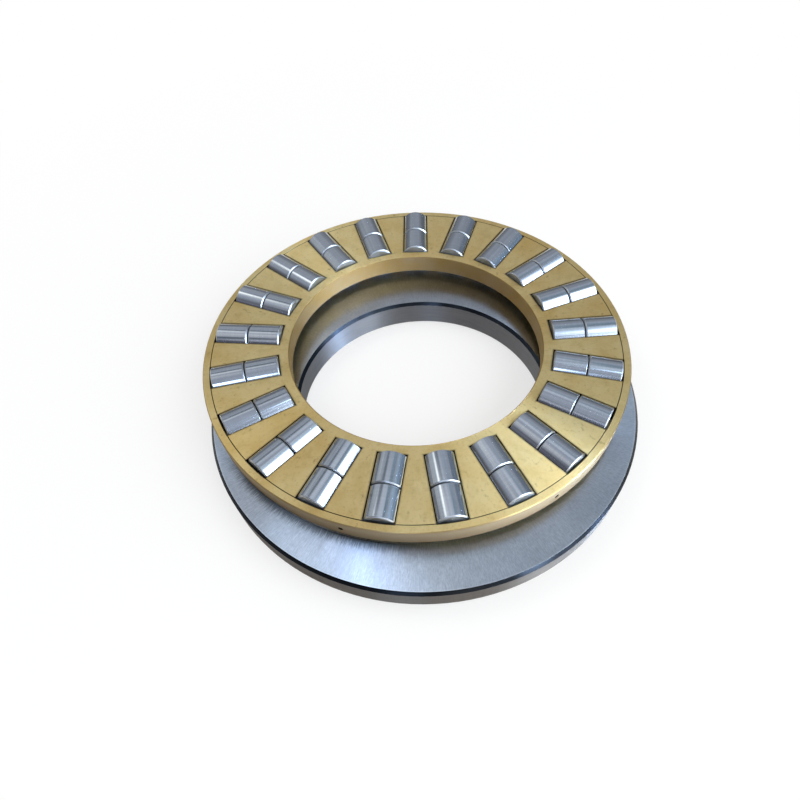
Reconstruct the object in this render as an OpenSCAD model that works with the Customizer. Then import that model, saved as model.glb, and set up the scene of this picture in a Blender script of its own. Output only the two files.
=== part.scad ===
// Thrust bearing with two rows of cylindrical rollers in one cage, and the washer that it lies on.
// Millimetres, +Z up. The origin is on the washer's axis, at its back face.

/* [Shaft] */
// Diameter of the shaft, and so the bore of the washer
shaft_d = 140; // [120:0.5:160]

/* [Washer] */
// Thickness of the washer
washer_t = 16; // [9:0.5:24]
// How far the washer's outer face stands inside the cage's
washer_inset = 1; // [0:0.1:4]
// Chamfer at both edges of the raceway face
race_chamfer = 1.6; // [0.4:0.1:3]
// Chamfer at the outer edge of the back face
back_chamfer = 3; // [0.4:0.1:5]
// Chamfer at the bore edge of the back face
seat_chamfer = 1; // [0.4:0.1:3]

/* [Rollers] */
// Diameter of a roller
roller_d = 18; // [14:0.5:20]
// Length of a roller, the same in both rows
roller_l = 18; // [12:0.5:24]
// Chamfer at both ends of a roller
roller_chamfer = 0.6; // [0.3:0.1:1.5]

/* [Cage] */
// Gap from the shaft to the cage's bore
shaft_gap = 2; // [0.5:0.1:4]
// Wall between the cage's bore and the pocket floors
hub_wall = 5.5; // [3:0.1:9]
// Wall of the rim round the cage body
rim_wall = 4.2; // [3:0.1:7]
// Thickness of the cage, body and rim alike
cage_t = 10.5; // [8:0.25:13]
// Edge break at the cage's bore and outer face
cage_chamfer = 0.5; // [0.2:0.1:1]
// Edge break at both sides of the seam between body and rim
seam_chamfer = 0.2; // [0.1:0.05:0.4]
// Number of pockets, a multiple of the pin spacing
pockets = 21; // [12:3:24]

/* [Rim pins] */
// Diameter of a rim pin
pin_d = 2.5; // [1.5:0.1:4]
// Length of a rim pin
pin_l = 12; // [8:0.5:16]
// Depth of a pin's head below the rim's outer face
pin_recess = 1.6; // [0.3:0.1:2]
// Edge break at both ends of a pin
pin_chamfer = 0.3; // [0.1:0.1:0.5]
// Bars from one pin to the next
pin_spacing = 3; // [1, 3]

/* [Clearances] */
// Running clearance all round a roller in its pocket
pocket_clear = 0.35; // [0.2:0.05:0.6]
// Gap between the rollers and the pocket lips that hang on them
lip_clear = 0.3; // [0.05:0.05:0.4]
// Gap between the raceway and the rollers
race_clear = 0.1; // [0.05:0.05:0.3]
// End play from a pocket's floor to the inner roller
inner_play = 0.6; // [0.3:0.1:1.2]
// End play between the two rollers of a pocket
mid_play = 0.7; // [0.3:0.1:1.2]
// End play from the outer roller to the rim
outer_play = 1; // [0.3:0.1:1.5]
// Gap between the cage body and its rim
rim_fit = 0.05; // [0.02:0.01:0.1]
// Gap round a pin in its hole
pin_fit = 0.02; // [0.01:0.01:0.05]
// Depth of a pin hole beyond the pin's end
pin_bottom = 0.5; // [0.2:0.1:1]

/* [Lay of the cage on the washer] */
// Offset of the cage's axis along X
lay_x = -3; // [-20:1:20]
// Offset of the cage's axis along Y
lay_y = 25; // [-30:1:30]
// Turn of the cage from its first pocket on Y
lay_turn = -1.6; // [-8:0.1:8]

/* [Hidden] */
pitch = 360 / pockets;
first_angle = 90 + lay_turn;

// Radial stations of the cage from its bore outwards, each built on the one before
cage_bore_r = shaft_d / 2 + shaft_gap;
pocket_r = cage_bore_r + hub_wall;
inner_roller_r = pocket_r + inner_play;
outer_roller_r = inner_roller_r + roller_l + mid_play;
rim_in_r = outer_roller_r + roller_l + outer_play;
body_r = rim_in_r - rim_fit;
cage_r = rim_in_r + rim_wall;
pin_head_r = cage_r - pin_recess;
pin_tip_r = pin_head_r - pin_l;

// The washer covers both rows of rollers and the cage's rim
washer_r = cage_r - washer_inset;

// A pocket is a bore wider than the cage is thick, so it opens as a slot in both faces
pocket_d = roller_d + 2 * pocket_clear;
slot_half_w = sqrt(pow(pocket_d, 2) - pow(cage_t, 2)) / 2;

// Heights: the rollers stand on the raceway, and the cage hangs on them by its pockets' lips
roller_z = washer_t + race_clear + roller_d / 2;
lip_rise = sqrt(pow(roller_d / 2 + lip_clear, 2) - pow(slot_half_w, 2));
cage_top_z = roller_z + lip_rise;
cage_mid_z = cage_top_z - cage_t / 2;

bore_cut = 1;
ring_fn = 240;
roller_fn = 72;
pin_fn = 32;
brass = "darkgoldenrod";
ground_steel = "lightslategray";
pin_steel = "dimgray";

function two_digits(k) = k < 10 ? str("0", k) : str(k);
function roller_name(row, k) = str("roller_", row, "_", two_digits(k));

// Ring on the Z axis from z = 0 up, with its own chamfer at each of its four edges
module ring(r_in, r_out, h, in_low, in_high, out_low, out_high) {
    rotate_extrude($fn = ring_fn)
        polygon([
            [r_in + in_low, 0],
            [r_out - out_low, 0],
            [r_out, out_low],
            [r_out, h - out_high],
            [r_out - out_high, h],
            [r_in + in_high, h],
            [r_in, h - in_high],
            [r_in, in_low],
        ]);
}

// Round bar along the X axis from r_from to r_to, chamfered at both ends
module radial_bar(r_from, r_to, d, chamfer, fn) {
    translate([r_from, 0, 0])
        rotate([0, 90, 0])
            rotate_extrude($fn = fn)
                polygon([
                    [0, 0],
                    [d / 2 - chamfer, 0],
                    [d / 2, chamfer],
                    [d / 2, r_to - r_from - chamfer],
                    [d / 2 - chamfer, r_to - r_from],
                    [0, r_to - r_from],
                ]);
}

// Plain round cut along the X axis from r_from to r_to
module radial_bore(r_from, r_to, d, fn) {
    translate([r_from, 0, 0])
        rotate([0, 90, 0])
            cylinder(h = r_to - r_from, d = d, $fn = fn);
}

// The cage's own place on the washer, seen from its axis
module at_cage(z) {
    translate([lay_x, lay_y, z])
        rotate([0, 0, first_angle])
            children();
}

// Pins stand in the middle of the bars, between two pockets
module at_pins() {
    for (k = [0:pin_spacing:pockets - 1])
        rotate([0, 0, -(k + pin_spacing - 0.5) * pitch])
            children();
}

// One hole for a rim pin, through the rim and on into the bar behind it
module pin_hole() {
    radial_bore(pin_tip_r - pin_bottom, cage_r + bore_cut, pin_d + 2 * pin_fit, pin_fn);
}

// Flat hardened ring, ground on its raceway, bore and outer face
module thrust_washer() {
    color(ground_steel)
        ring(shaft_d / 2, washer_r, washer_t,
            seat_chamfer, race_chamfer, back_chamfer, race_chamfer);
}

// Brass ring, bored radially from outside once for each pocket
module cage_body() {
    color(brass)
        at_cage(cage_mid_z)
            difference() {
                translate([0, 0, -cage_t / 2])
                    ring(cage_bore_r, body_r, cage_t,
                        cage_chamfer, cage_chamfer, seam_chamfer, seam_chamfer);
                for (k = [0:pockets - 1])
                    rotate([0, 0, -k * pitch])
                        radial_bore(pocket_r, body_r + bore_cut, pocket_d, roller_fn);
                at_pins()
                    pin_hole();
            }
}

// Brass ring round the cage body, which closes the pockets
module cage_rim() {
    color(brass)
        at_cage(cage_mid_z)
            difference() {
                translate([0, 0, -cage_t / 2])
                    ring(rim_in_r, cage_r, cage_t,
                        seam_chamfer, seam_chamfer, cage_chamfer, cage_chamfer);
                at_pins()
                    pin_hole();
            }
}

// Pins that hold the rim on the bars
module rim_pins() {
    color(pin_steel)
        at_cage(cage_mid_z)
            at_pins()
                radial_bar(pin_tip_r, pin_head_r, pin_d, pin_chamfer, pin_fn);
}

// One roller of pocket k, with its inner end at radius r_from
module roller(k, r_from) {
    color(ground_steel)
        at_cage(roller_z)
            rotate([0, 0, -(k - 1) * pitch])
                radial_bar(r_from, r_from + roller_l, roller_d, roller_chamfer, roller_fn);
}

module roller_inner(k) {
    roller(k, inner_roller_r);
}

module roller_outer(k) {
    roller(k, outer_roller_r);
}

thrust_washer();
cage_body();
cage_rim();
rim_pins();
for (k = [1:pockets]) {
    roller_inner(k);
    roller_outer(k);
}
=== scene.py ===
import math

import bpy
from mathutils import Euler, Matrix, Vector


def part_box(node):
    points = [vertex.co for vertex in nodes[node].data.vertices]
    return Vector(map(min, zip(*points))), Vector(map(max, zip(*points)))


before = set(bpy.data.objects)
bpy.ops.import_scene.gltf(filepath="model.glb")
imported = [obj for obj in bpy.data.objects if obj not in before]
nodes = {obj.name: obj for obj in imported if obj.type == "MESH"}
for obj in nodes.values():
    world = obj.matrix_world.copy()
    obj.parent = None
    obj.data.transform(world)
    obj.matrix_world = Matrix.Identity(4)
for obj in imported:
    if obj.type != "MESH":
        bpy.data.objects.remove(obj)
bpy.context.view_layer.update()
bpy.ops.object.select_all(action="DESELECT")


# Thrust washer: one flat ring of through-hardened bearing steel, which both rows of rollers run on.
# It is turned, hardened and then ground on raceway, bore and rim. The chamfers are not ground
# again, so they keep the dark skin of the heat treatment.

MM = 0.001
WASHER_BORE_R = 70 * MM
WASHER_RIM_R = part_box("thrust_washer")[1][0]
WASHER_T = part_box("thrust_washer")[1][2]
RACE_CHAMFER = 1.6 * MM
RACE_END_R = WASHER_RIM_R - RACE_CHAMFER
EDGE_SLACK = 0.02 * MM
GRINDING_LEAN = math.radians(9)
PATTERN_R = 90 * MM
CAGE_LOW, CAGE_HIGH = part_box("cage_rim")
CAGE_CENTRE = ((CAGE_LOW[0] + CAGE_HIGH[0]) / 2, (CAGE_LOW[1] + CAGE_HIGH[1]) / 2, 0.0)
CAGE_RIM_R = (CAGE_HIGH[0] - CAGE_LOW[0]) / 2
RIM_SHADE_WAY = (-0.5, -0.866, 0.0)


def linear(hex_colour):
    """sRGB hex to the linear colour that a shader takes"""
    channels = [int(hex_colour[i:i + 2], 16) / 255 for i in (1, 3, 5)]
    return [c / 12.92 if c <= 0.04045 else ((c + 0.055) / 1.055) ** 2.4 for c in channels] + [1]


def add_node(tree, kind, *inputs, output=None, **settings):
    """A shader node, with its operation after a point, its settings, and a value or link for each input"""
    kind, _, operation = kind.partition(".")
    made = tree.nodes.new("ShaderNode" + kind)
    if operation:
        made.operation = operation
    for name, value in settings.items():
        setattr(made, name, value)
    for socket, value in zip([s for s in made.inputs if s.enabled], inputs):
        if isinstance(value, bpy.types.NodeSocket):
            tree.links.new(value, socket)
        elif value is not None:
            socket.default_value = value
    return made.outputs[output] if output else next(s for s in made.outputs if s.enabled)


def all_of(tree, *shares):
    """Where every share holds"""
    product = shares[0]
    for share in shares[1:]:
        product = add_node(tree, "Math.MULTIPLY", product, share)
    return product


def laid_over(tree, colour, over, pattern, low, high, most=1.0):
    """A colour with another laid over it where a pattern rises from low to high, up to a share"""
    share = add_node(tree, "MapRange", pattern, low, high, 0.0, most)
    return add_node(tree, "Mix", share, colour, linear(over), data_type="RGBA")


def new_finish(name):
    """An empty material, its tree and its one shader"""
    finish = bpy.data.materials.new(name)
    finish.use_nodes = True
    return finish, finish.node_tree, finish.node_tree.nodes["Principled BSDF"]


def dress(node_name, finish):
    """A CAD node takes a finish in place of its plain one"""
    nodes[node_name].data.materials.clear()
    nodes[node_name].data.materials.append(finish)


def ring_coordinates(tree, centre):
    """Place, radius, height, and the unit vector outwards, of a point round an axis along Z"""
    place = add_node(tree, "TexCoord", output="Object")
    place = add_node(tree, "VectorMath.SUBTRACT", place, centre)
    x, y, height = add_node(tree, "SeparateXYZ", place).node.outputs
    flat = add_node(tree, "CombineXYZ", x, y, 0.0)
    radius = add_node(tree, "VectorMath.LENGTH", flat)
    return place, radius, height, add_node(tree, "VectorMath.NORMALIZE", flat)


def round_noise(tree, outwards, radius, wide, long, detail=3.0, rough=0.55, start=0.0):
    """Noise round a ring without a seam, in patches so wide at the pattern's radius and so long outwards"""
    along = add_node(tree, "VectorMath.SCALE", outwards, PATTERN_R / wide)
    out = add_node(tree, "Math.MULTIPLY_ADD", radius, 1 / long, start)
    where = add_node(tree, "VectorMath.ADD", along, add_node(tree, "CombineXYZ", 0.0, 0.0, out))
    return add_node(tree, "TexNoise", where, 1.0, detail, rough)


def turn_with_piece(tree, vector):
    """A direction on the piece at rest, turned as the piece turns"""
    return add_node(tree, "VectorTransform", vector,
                    vector_type="VECTOR", convert_from="OBJECT", convert_to="WORLD")


def round_the_ring(tree, outwards):
    """The direction round a ring's axis"""
    return turn_with_piece(tree, add_node(tree, "VectorMath.CROSS_PRODUCT", (0.0, 0.0, 1.0), outwards))


def across_marks(tree, marks):
    """The direction across marks that run one way on a face, which is the way that they smear a highlight"""
    return add_node(tree, "VectorMath.CROSS_PRODUCT", add_node(tree, "NewGeometry", output="Normal"), marks)


def tilted(tree, where, *pushes):
    """The surface's normal, pushed along each direction as its pattern rises and falls, up to a slope"""
    normal = add_node(tree, "NewGeometry", output="Normal")
    for direction, pattern, slope in pushes:
        amount = all_of(tree, where, add_node(tree, "MapRange", pattern, 0.3, 0.7, -slope, slope))
        push = add_node(tree, "VectorMath.SCALE", direction, amount)
        normal = add_node(tree, "VectorMath.ADD", normal, push)
    return add_node(tree, "VectorMath.NORMALIZE", normal)


# Bearing steel 100Cr6, grey with a blue cast. The raceway is ground across, from bore to rim, and
# the walls round and round, so each smears light its own way. The chamfers carry black oxide.
washer_steel, tree, shader = new_finish("ground bearing steel with oxide chamfers")
place, radius, height, outwards = ring_coordinates(tree, (0.0, 0.0, 0.0))
past_rim = add_node(tree, "Math.GREATER_THAN", radius, RACE_END_R + EDGE_SLACK)
past_bore = add_node(tree, "Math.LESS_THAN", radius, WASHER_BORE_R + RACE_CHAMFER - EDGE_SLACK)
near_face = add_node(tree, "Math.GREATER_THAN", height, WASHER_T - RACE_CHAMFER + EDGE_SLACK)
at_edge = add_node(tree, "Math.MAXIMUM", past_rim, past_bore)
on_race = add_node(tree, "Math.SUBTRACT", 1.0, at_edge)
on_chamfer = add_node(tree, "Math.MULTIPLY", at_edge, near_face)
on_wall = add_node(tree, "Math.SUBTRACT", at_edge, on_chamfer)
# Real grinding marks are finer than the render shows, so they are drawn coarse: streaks half a
# millimetre by 12 mm, each at a slightly other tilt, and on the walls rings of nearly 1 mm
streaks = round_noise(tree, outwards, radius, 0.474 * MM, 12.5 * MM, 3.0, 0.6)
leans = round_noise(tree, outwards, radius, 0.6 * MM, 16.7 * MM, 2.0, 0.5, 7.0)
rings = round_noise(tree, outwards, add_node(tree, "Math.SUBTRACT", radius, height), 18 * MM, 0.91 * MM)
clouds = add_node(tree, "TexNoise", place, 1 / (16.7 * MM), 3.0)
scratches = round_noise(tree, outwards, radius, 3 * MM, 1 * MM, 3.0, 0.6, 2.0)
# Short strokes of single grains of the wheel, 0.3 by 2 mm
grain = round_noise(tree, outwards, radius, 0.3 * MM, 2 * MM, 2.0, 0.6, 4.0)
race_colour = laid_over(tree, linear("#c7cdd7"), "#d9dee6", streaks, 0.3, 0.7)
race_colour = laid_over(tree, race_colour, "#adb3be", clouds, 0.35, 0.65, 0.35)
race_colour = laid_over(tree, race_colour, "#8d939d", scratches, 0.5, 0.75, 0.2)
race_colour = laid_over(tree, race_colour, "#9097a1", grain, 0.35, 0.65, 0.4)
# A painted highlight: a thin light line where the raceway ends. Painted shade: ragged dark tufts on the
# raceway just outside the cage rim at the front left, where the rim's shade falls and its dark underside is
# mirrored, drawn out along the streaks
race_colour = laid_over(tree, race_colour, "#e2e6ec", radius,
                        RACE_END_R - 0.5 * MM, RACE_END_R - 0.2 * MM, 0.6)
_, cage_radius, _, cage_outwards = ring_coordinates(tree, CAGE_CENTRE)
teeth = round_noise(tree, cage_outwards, cage_radius, 0.3 * MM, 5.9 * MM, 3.0, 0.7)
reach = add_node(tree, "MapRange", cage_radius, CAGE_RIM_R, CAGE_RIM_R + 6 * MM, 0.5, 0.0)
# Painted shade: ragged dark tufts up to 6 mm outside the cage rim, only on the side that faces the front
# left
shade_tufts = add_node(tree, "MapRange", add_node(tree, "Math.ADD", reach, teeth), 0.62, 0.95)
facing = add_node(tree, "VectorMath.DOT_PRODUCT", cage_outwards, RIM_SHADE_WAY)
facing = add_node(tree, "MapRange", facing, 0.85, 0.95)
outside = add_node(tree, "Math.GREATER_THAN", cage_radius, CAGE_RIM_R - 1 * MM)
race_colour = laid_over(tree, race_colour, "#23272d", all_of(tree, shade_tufts, facing, outside), 0.0, 1.0, 0.65)
wall_colour = laid_over(tree, linear("#6e6862"), "#827b73", rings, 0.3, 0.7)
wall_colour = laid_over(tree, wall_colour, "#969ca6", past_bore, 0.0, 1.0, 0.35)
oxide_colour = laid_over(tree, linear("#23272c"), "#33383f", rings, 0.3, 0.7)
colour = add_node(tree, "Mix", on_wall, race_colour, wall_colour, data_type="RGBA")
colour = add_node(tree, "Mix", on_chamfer, colour, oxide_colour, data_type="RGBA")
tree.links.new(colour, shader.inputs["Base Color"])
roughness = add_node(tree, "MapRange", streaks, 0.3, 0.7, 0.33, 0.40)
roughness = add_node(tree, "Math.MULTIPLY_ADD", on_chamfer, -0.18, roughness)
roughness = add_node(tree, "Math.MULTIPLY_ADD", on_wall, 0.14, roughness)
tree.links.new(roughness, shader.inputs["Roughness"])
shader.inputs["Metallic"].default_value = 1
shader.inputs["Anisotropic"].default_value = 1
round_it = round_the_ring(tree, outwards)
out_of_it = turn_with_piece(tree, outwards)
leaning = add_node(tree, "VectorMath.SCALE", out_of_it, math.tan(GRINDING_LEAN))
leaning = add_node(tree, "VectorMath.ADD", round_it, leaning)
smear = add_node(tree, "Mix", on_race, across_marks(tree, round_it), leaning, data_type="VECTOR")
tree.links.new(smear, shader.inputs["Tangent"])
normal = tilted(tree, on_race, (out_of_it, leans, 0.02), (round_it, streaks, 0.05), (round_it, grain, 0.07))
tree.links.new(normal, shader.inputs["Normal"])
dress("thrust_washer", washer_steel)


# Cage body: a turned ring of machined brass with 21 pockets bored from outside.
# Each bore breaks out through both faces and leaves the lips that hold two rollers.

CAGE_TOP_Z = CAGE_HIGH[2]
CAGE_LOW_Z = CAGE_LOW[2]
CAGE_BORE_R = 72 * MM
HUB_WALL = 5.5 * MM
RIM_WALL = 4.2 * MM
POCKET_D = 18.7 * MM
SEAM_R = CAGE_RIM_R - RIM_WALL
POCKET_END_R = CAGE_BORE_R + HUB_WALL
SLOT_HALF_W = math.sqrt(POCKET_D ** 2 - (CAGE_TOP_Z - CAGE_LOW_Z) ** 2) / 2
POCKETS = 21
PITCH = 2 * math.pi / POCKETS
LAY_TURN = math.radians(-1.6)
FIRST_ANGLE = math.pi / 2 + LAY_TURN


def pocket_coordinates(tree, place):
    """The axis of the nearest pocket, and how far a point lies along it and beside it"""
    x, y, _ = add_node(tree, "SeparateXYZ", place).node.outputs
    angle = add_node(tree, "Math.ARCTAN2", y, x)
    steps = add_node(tree, "Math.SUBTRACT", angle, FIRST_ANGLE)
    pocket = add_node(tree, "Math.ROUND", add_node(tree, "Math.DIVIDE", steps, PITCH))
    angle = add_node(tree, "Math.MULTIPLY_ADD", pocket, PITCH, FIRST_ANGLE)
    axis = add_node(tree, "CombineXYZ",
                    add_node(tree, "Math.COSINE", angle), add_node(tree, "Math.SINE", angle), 0.0)
    along = add_node(tree, "VectorMath.DOT_PRODUCT", place, axis)
    across = add_node(tree, "VectorMath.CROSS_PRODUCT", (0.0, 0.0, 1.0), axis)
    beside = add_node(tree, "VectorMath.DOT_PRODUCT", place, across)
    return axis, along, beside


# Brass CuZn39Pb, turned and left bare: satin, warm yellow, with olive tarnish and brown smudges on
# the faces. Shade is painted dark into the pockets, along and round their lips and into the seam. The
# turning grooves are drawn 1 mm apart, because the real ones are too fine to show.
cage_brass, tree, shader = new_finish("machined brass")
place, radius, height, outwards = ring_coordinates(tree, CAGE_CENTRE)
_, along, beside = pocket_coordinates(tree, place)
clouds = add_node(tree, "TexNoise", place, 1 / (22.2 * MM), 4.0, 0.6)
speckle = add_node(tree, "TexNoise", place, 1 / (1.43 * MM), 3.0, 0.6)
turning = round_noise(tree, outwards, add_node(tree, "Math.SUBTRACT", radius, height), 30 * MM, 1.11 * MM)
smudges = round_noise(tree, outwards, radius, 5.6 * MM, 9.1 * MM, 5.0, 0.65, 3.0)
stains = round_noise(tree, outwards, radius, 2.25 * MM, 3.85 * MM, 3.0, 0.6, 9.0)
top_colour = laid_over(tree, linear("#f5da9b"), "#e9c67f", clouds, 0.35, 0.7)
top_colour = laid_over(tree, top_colour, "#c9a963", smudges, 0.5, 0.75, 0.35)
top_colour = laid_over(tree, top_colour, "#c09858", speckle, 0.55, 0.75, 0.3)
top_colour = laid_over(tree, top_colour, "#9c7a44", stains, 0.62, 0.78, 0.6)
# Where a point lies: on a flat face, on the outer wall, on the bore's wall, or in a pocket or the seam
on_top = add_node(tree, "Math.GREATER_THAN", height, CAGE_TOP_Z - 0.05 * MM)
on_back = add_node(tree, "Math.LESS_THAN", height, CAGE_LOW_Z + 0.05 * MM)
on_face = add_node(tree, "Math.MAXIMUM", on_top, on_back)
at_rim = add_node(tree, "Math.GREATER_THAN", radius, CAGE_RIM_R - 0.1 * MM)
at_bore = add_node(tree, "Math.LESS_THAN", radius, CAGE_BORE_R + 0.7 * MM)
behind_chamfer = add_node(tree, "Math.LESS_THAN", radius, CAGE_RIM_R - 0.6 * MM)
below_chamfer = add_node(tree, "Math.LESS_THAN", height, CAGE_TOP_Z - 0.55 * MM)
below_chamfer = all_of(tree, below_chamfer, add_node(tree, "Math.SUBTRACT", 1.0, at_rim))
in_pocket = all_of(tree, add_node(tree, "Math.MAXIMUM", behind_chamfer, below_chamfer),
                   add_node(tree, "Math.SUBTRACT", 1.0, on_face),
                   add_node(tree, "Math.SUBTRACT", 1.0, at_bore))
# The outer wall of the rim is darker towards its bottom
rim_colour = laid_over(tree, linear("#91795a"), "#ae9a7a", height, CAGE_TOP_Z - 10 * MM, CAGE_TOP_Z - 3 * MM)
bore_colour = laid_over(tree, linear("#b8975c"), "#bda37a", clouds, 0.35, 0.7)
wall_colour = add_node(tree, "Mix", at_rim, bore_colour, rim_colour, data_type="RGBA")
colour = add_node(tree, "Mix", on_face, wall_colour, top_colour, data_type="RGBA")
# Painted shade: the walls inside the cage, in the pockets and the seam's groove, are laid over nearly black
colour = laid_over(tree, colour, "#1e1710", in_pocket, 0.0, 1.0, 0.9)
# Painted shade: a hard dark line at each lip and in the seam's groove, and a softer one round each pocket
from_lip = add_node(tree, "Math.SUBTRACT", add_node(tree, "Math.ABSOLUTE", beside), SLOT_HALF_W)
from_end = add_node(tree, "Math.SUBTRACT", POCKET_END_R, along)
from_pocket = add_node(tree, "Math.MAXIMUM", from_lip, from_end)
from_seam = add_node(tree, "Math.ABSOLUTE", add_node(tree, "Math.SUBTRACT", radius, SEAM_R))
from_either = add_node(tree, "Math.MINIMUM", from_pocket, from_seam)
lip_and_seam_shade = add_node(tree, "Math.MAXIMUM",
                   add_node(tree, "MapRange", from_either, 0.08 * MM, 0.32 * MM, 0.9, 0.0),
                   add_node(tree, "MapRange", from_pocket, 0.1 * MM, 0.9 * MM, 0.55, 0.0))
inside_seam = add_node(tree, "Math.LESS_THAN", radius, SEAM_R + 0.4 * MM)
colour = laid_over(tree, colour, "#2c2114", all_of(tree, lip_and_seam_shade, inside_seam), 0.0, 1.0)
tree.links.new(colour, shader.inputs["Base Color"])
roughness = add_node(tree, "MapRange", clouds, 0.3, 0.7, 0.34, 0.42)
at_wall = add_node(tree, "Math.MAXIMUM", at_rim, at_bore)
roughness = add_node(tree, "Math.MULTIPLY_ADD", at_wall, 0.42, roughness)
tree.links.new(roughness, shader.inputs["Roughness"])
shader.inputs["Metallic"].default_value = 1
shader.inputs["Anisotropic"].default_value = 0.85
tree.links.new(across_marks(tree, round_the_ring(tree, outwards)), shader.inputs["Tangent"])
relief = add_node(tree, "Math.MULTIPLY_ADD", speckle, 0.6, turning)
tree.links.new(add_node(tree, "Bump", 0.1, 0.05 * MM, None, relief), shader.inputs["Normal"])
dress("cage_body", cage_brass)


# Rollers: 21 pairs of short cylinders, 18 by 18 mm, with chamfered ends, slid one behind the other
# into each pocket from outside. Hardened bearing steel, centreless ground and lapped nearly to a
# mirror.

ROLLER_LOW_Z, ROLLER_TOP_Z = (corner[2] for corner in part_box("roller_inner_01"))
ROLLER_Z = (ROLLER_LOW_Z + ROLLER_TOP_Z) / 2
ROLLER_R = (ROLLER_TOP_Z - ROLLER_LOW_Z) / 2
ROLLER_CHAMFER = 0.6 * MM
FACET_SLACK = 0.03 * MM
LAP_WIDE = 0.667 * MM
LAP_LONG = 16.7 * MM

# The lapping marks run round each roller, so they smear what it mirrors along its length. They are
# drawn 0.7 mm wide, because the real ones are too fine to show. The ends are only ground, so they
# scatter light and look paler.
roller_steel, tree, shader = new_finish("lapped bearing steel")
place, _, height, _ = ring_coordinates(tree, CAGE_CENTRE)
axis, along, beside = pocket_coordinates(tree, place)
rise = add_node(tree, "Math.SUBTRACT", height, ROLLER_Z)
own_radius = add_node(tree, "VectorMath.LENGTH", add_node(tree, "CombineXYZ", beside, rise, 0.0))
on_barrel = add_node(tree, "Math.GREATER_THAN", own_radius, ROLLER_R - FACET_SLACK)
on_end = add_node(tree, "Math.LESS_THAN", own_radius, ROLLER_R - ROLLER_CHAMFER + FACET_SLACK)
lap_at = add_node(tree, "CombineXYZ", along, beside, rise)
lap_at = add_node(tree, "VectorMath.DIVIDE", lap_at, (LAP_WIDE, LAP_LONG, LAP_LONG))
lap = add_node(tree, "TexNoise", lap_at, 1.0, 2.0)
barrel_colour = laid_over(tree, linear("#b3b8c0"), "#b9bec6", lap, 0.3, 0.7)
edge_colour = laid_over(tree, linear("#c4c6c8"), "#a0a2a4", on_end, 0.0, 1.0)
colour = add_node(tree, "Mix", on_barrel, edge_colour, barrel_colour, data_type="RGBA")
tree.links.new(colour, shader.inputs["Base Color"])
roughness = add_node(tree, "Math.MULTIPLY_ADD", on_barrel, -0.28, 0.42)
roughness = add_node(tree, "Math.MULTIPLY_ADD", on_end, 0.23, roughness)
tree.links.new(roughness, shader.inputs["Roughness"])
shader.inputs["Metallic"].default_value = 1
shader.inputs["Anisotropic"].default_value = 0.4
tree.links.new(turn_with_piece(tree, axis), shader.inputs["Tangent"])
for row in ("inner", "outer"):
    for k in range(1, POCKETS + 1):
        dress(f"roller_{row}_{k:02d}", roller_steel)


# Cage rim: a second turned brass ring, set round the body once the rollers are in, so that it
# closes the pockets. The fine dark circle across the bars is the seam between the two.

dress("cage_rim", cage_brass)


# Rim pins: seven plain steel pins, driven through the rim into every third bar and set below it.
# Drawn steel wire, cut off and left bare. Its colour is painted nearly black, as shade in the holes that the
# pins are set into.

pin_steel, tree, shader = new_finish("drawn pin steel painted dark as shade")
place = add_node(tree, "TexCoord", output="Object")
grain = add_node(tree, "TexNoise", place, 1 / (0.4 * MM), 2.0)
tree.links.new(laid_over(tree, linear("#1d1b19"), "#33302c", grain, 0.3, 0.7), shader.inputs["Base Color"])
shader.inputs["Metallic"].default_value = 1
shader.inputs["Roughness"].default_value = 0.5
dress("rim_pins", pin_steel)


# Studio: a plain white floor, a grey tent that only polished metal sees, with a large window to
# the right of the camera and a small ceiling lamp behind on the left, and soft plain lamps.

FLOOR_SIZE = 8.0
TENT_R = 1.1


def seen_as_background(tree):
    """Where the camera sees the surroundings, straight on, in metal or through glass"""
    rays = add_node(tree, "LightPath").node.outputs
    bounced = add_node(tree, "Math.MAXIMUM", rays["Is Glossy Ray"], rays["Is Transmission Ray"])
    return add_node(tree, "Math.MAXIMUM", rays["Is Camera Ray"], bounced)


# The floor glows white where it is seen, and less so near the bearing, so that its shadow shows
bpy.ops.mesh.primitive_plane_add(size=FLOOR_SIZE, location=(0, 0, 0))
floor = bpy.context.object
floor.name = "studio_floor"
paper, tree, shader = new_finish("white paper")
shader.inputs["Base Color"].default_value = linear("#fbfbfb")
shader.inputs["Roughness"].default_value = 0.9
shader.inputs["Specular IOR Level"].default_value = 0
distance = add_node(tree, "VectorMath.LENGTH", add_node(tree, "TexCoord", output="Object"))
share = add_node(tree, "MapRange", distance, 0.12, 0.5, 0.6, 1.0)
glow = add_node(tree, "Emission", (1, 1, 1, 1), 1.0)
mixed = add_node(tree, "MixShader", all_of(tree, seen_as_background(tree), share), shader.outputs[0], glow)
tree.links.new(mixed, tree.nodes["Material Output"].inputs["Surface"])
floor.data.materials.append(paper)

# The tent stands round everything, and only metal mirrors it
bpy.ops.mesh.primitive_uv_sphere_add(segments=64, ring_count=32, radius=TENT_R, location=(0, 0, 0))
tent = bpy.context.object
tent.name = "grey_tent"
tent.visible_camera = False
tent.visible_diffuse = False
tent.visible_transmission = False
tent.visible_volume_scatter = False
tent.visible_shadow = False
grey, tree, shader = new_finish("grey tent cloth")
tree.nodes.remove(shader)
way = add_node(tree, "VectorMath.NORMALIZE", add_node(tree, "TexCoord", output="Object"))
x, y, up = add_node(tree, "SeparateXYZ", way).node.outputs
share = add_node(tree, "MapRange", up, 0.08, 0.80)
colour = add_node(tree, "Mix", share, (0.20, 0.205, 0.21, 1), (0.54, 0.59, 0.67, 1), data_type="RGBA")


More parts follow.
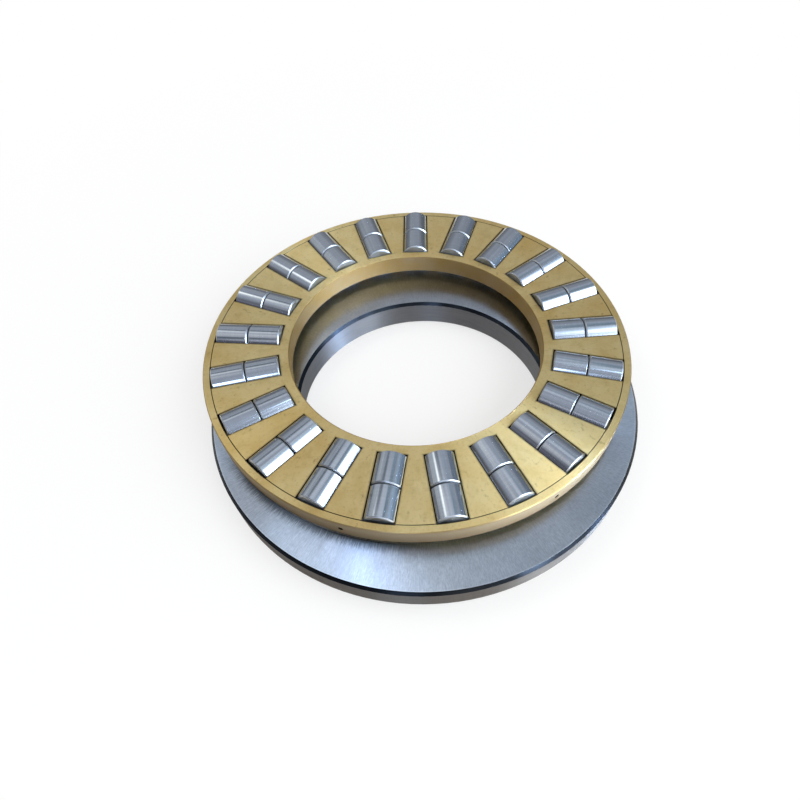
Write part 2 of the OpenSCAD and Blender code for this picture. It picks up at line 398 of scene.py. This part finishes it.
def towards(tree, way, azimuth, elevation, inner, outer):
    """Share of a soft round patch on the tent: its direction, and its inner and outer angle in degrees"""
    a, e = math.radians(azimuth), math.radians(elevation)
    there = (math.cos(a) * math.cos(e), math.sin(a) * math.cos(e), math.sin(e))
    facing = add_node(tree, "VectorMath.DOT_PRODUCT", way, there)
    return add_node(tree, "MapRange", facing, math.cos(math.radians(outer)), math.cos(math.radians(inner)))


# Each patch of the tent: azimuth, elevation, inner and outer angle, and what it shines
TENT_PATCHES = (
    (225, 22, 12, 40, (0.14, 0.145, 0.17)),
    (185, 8, 8, 22, (0.15, 0.145, 0.14)),
    (145, 0, 8, 14, (0.19, 0.18, 0.17)),
    (206, 27, 1, 7, (0.27, 0.27, 0.32)),
    (202, 50, 3, 10, (0.56, 0.57, 0.61)),
    (219, 49, 4, 9, (0.17, 0.20, 0.23)),
    (235, 42, 3, 10, (0.64, 0.66, 0.73)),
    (259, 36, 4, 9, (4.6, 6.1, 8.5)),
    (284, 6, 5, 14, (1.5, 1.45, 1.35)),
    (310, 67, 2, 5, (7.0, 9.5, 13.0)),
    (17, 12, 8, 18, (0.32, 0.43, 0.55)),
    (17, 34, 4, 11, (0.52, 0.70, 0.86)),
    (34, 60, 5, 18, (0.34, 0.44, 0.52)),
    (38, 22, 5, 14, (0.23, 0.28, 0.35)),
    (60, 8, 6, 18, (0.20, 0.22, 0.24)),
    (54, 3, 1, 5, (0.38, 0.44, 0.50)),
    (62, 70, 2, 10, (0.76, 0.83, 0.91)),
    (95, 70, 3, 11, (0.80, 0.86, 0.94)),
    (190, 64, 7, 15, (0.84, 0.87, 0.90)),
    (112, 34, 5, 14, (0.50, 0.54, 0.58)),
    (148, 29, 8, 20, (0.64, 0.69, 0.72)),
    (160, 19, 1, 6, (0.78, 0.78, 0.74)),
    (138, 61, 4, 12, (0.92, 0.97, 1.00)),
    (152, 50, 4, 12, (0.88, 0.93, 0.94)),
    (149, 49, 3, 7, (2.3, 2.35, 2.25)),
    (121, 56, 4, 8, (0.22, 0.26, 0.29)),
    (130, 53, 2, 6, (0.26, 0.29, 0.33)),
    (340, 70, 9, 16, (0.82, 0.95, 1.06)),
    (12, 55, 3, 7, (0.80, 0.88, 0.92)),
)
for azimuth, elevation, inner, outer, shine in TENT_PATCHES:
    patch = towards(tree, way, azimuth, elevation, inner, outer)
    colour = add_node(tree, "Mix", patch, colour, (*shine, 1), data_type="RGBA")

# The window: soft at its edges, blue on its left and cream above the ground
bearing = add_node(tree, "Math.DEGREES", add_node(tree, "Math.ARCTAN2", y, x))
right_side = add_node(tree, "Math.MULTIPLY_ADD", add_node(tree, "Math.MULTIPLY", up, up), -14.0, bearing)
in_window = all_of(tree, add_node(tree, "MapRange", bearing, -70.0, -61.0),
                   add_node(tree, "MapRange", right_side, -8.0, 5.0, 1.0, 0.0),
                   add_node(tree, "MapRange", up, 0.80, 0.90, 1.0, 0.0))
share = add_node(tree, "MapRange", bearing, -68.0, -50.0)
pane = add_node(tree, "Mix", share, (0.8, 0.95, 1.2, 1), (1.7, 1.95, 2.2, 1), data_type="RGBA")
share = add_node(tree, "MapRange", bearing, -48.0, -38.0)
pane = add_node(tree, "Mix", share, pane, (3.6, 4.3, 5.4, 1), data_type="RGBA")
share = add_node(tree, "MapRange", up, 0.08, 0.40, 1.0, 0.0)
pane = add_node(tree, "Mix", share, pane, (1.25, 1.22, 1.15, 1), data_type="RGBA")
glare = add_node(tree, "TexNoise", way, 7.0, 1.0, 0.5)
pane = add_node(tree, "VectorMath.SCALE", pane, add_node(tree, "MapRange", glare, 0.4, 0.6, 0.6, 1.4))
colour = add_node(tree, "Mix", in_window, colour, pane, data_type="RGBA")

# Two low bare panes, small and strong, which the ground and turned walls smear into bright fans:
# azimuth, elevation, outer angle, and what each shines
BARE_PANES = (
    (-48, 20, 9, (14, 17, 21)),
    (-16, 23, 7, (34, 50, 78)),
)
for azimuth, elevation, outer, shine in BARE_PANES:
    patch = towards(tree, way, azimuth, elevation, 2, outer)
    colour = add_node(tree, "Mix", patch, colour, (*shine, 1), data_type="RGBA")
folds = add_node(tree, "TexNoise", way, 5.0, 4.0, 0.6)
colour = add_node(tree, "VectorMath.SCALE", colour, add_node(tree, "MapRange", folds, 0.3, 0.7, 0.8, 1.2))
glow = add_node(tree, "Emission", colour, 1.0)
tree.links.new(glow, tree.nodes["Material Output"].inputs["Surface"])
grey.cycles.emission_sampling = "NONE"
tent.data.materials.append(grey)


def area_lamp(name, azimuth, elevation, distance, width, tall, radiance, colour):
    """A rectangular lamp that faces the object. Metal mirrors the tent's patches and not the lamp"""
    data = bpy.data.lights.new(name, "AREA")
    data.shape = "RECTANGLE"
    data.size, data.size_y = width, tall
    data.energy = radiance * math.pi * width * tall
    data.color = colour
    lamp = bpy.data.objects.new(name, data)
    bpy.context.scene.collection.objects.link(lamp)
    a, e = math.radians(azimuth), math.radians(elevation)
    lamp.location = distance * Vector((math.cos(a) * math.cos(e), math.sin(a) * math.cos(e), math.sin(e)))
    lamp.rotation_euler = lamp.location.to_track_quat("Z", "Y").to_euler()
    lamp.visible_camera = False
    lamp.visible_glossy = False


area_lamp("window", 325, 32, 1.7, 2.6, 1.9, 2.2, (0.94, 0.98, 1.0))
area_lamp("ceiling_lamp", 153, 52, 1.5, 0.6, 0.6, 2.2, (1.0, 1.0, 1.0))

# The world is white where it is seen, and gives a little plain light from all round
world = bpy.data.worlds.new("studio")
bpy.context.scene.world = world
world.use_nodes = True
tree = world.node_tree
strength = add_node(tree, "MapRange", seen_as_background(tree), 0.0, 1.0, 0.6, 1.0)
tree.links.new(strength, tree.nodes["Background"].inputs["Strength"])
tree.nodes["Background"].inputs["Color"].default_value = (1, 1, 1, 1)

# The camera stands where the photograph was taken from
camera_data = bpy.data.cameras.new("camera")
camera_data.sensor_width = 36
camera_data.lens = 24.83
camera_data.shift_x = -0.0226
camera_data.shift_y = 0.0626
camera_data.clip_start = 0.01
camera_data.clip_end = 20
camera = bpy.data.objects.new("camera", camera_data)
bpy.context.scene.collection.objects.link(camera)
camera.location = (-0.003, -0.19868, 0.26072)
camera.rotation_euler = Euler([math.radians(a) for a in (32.803, 1.368, -1.784)])
bpy.context.scene.camera = camera
bpy.context.scene.view_settings.view_transform = "Standard"
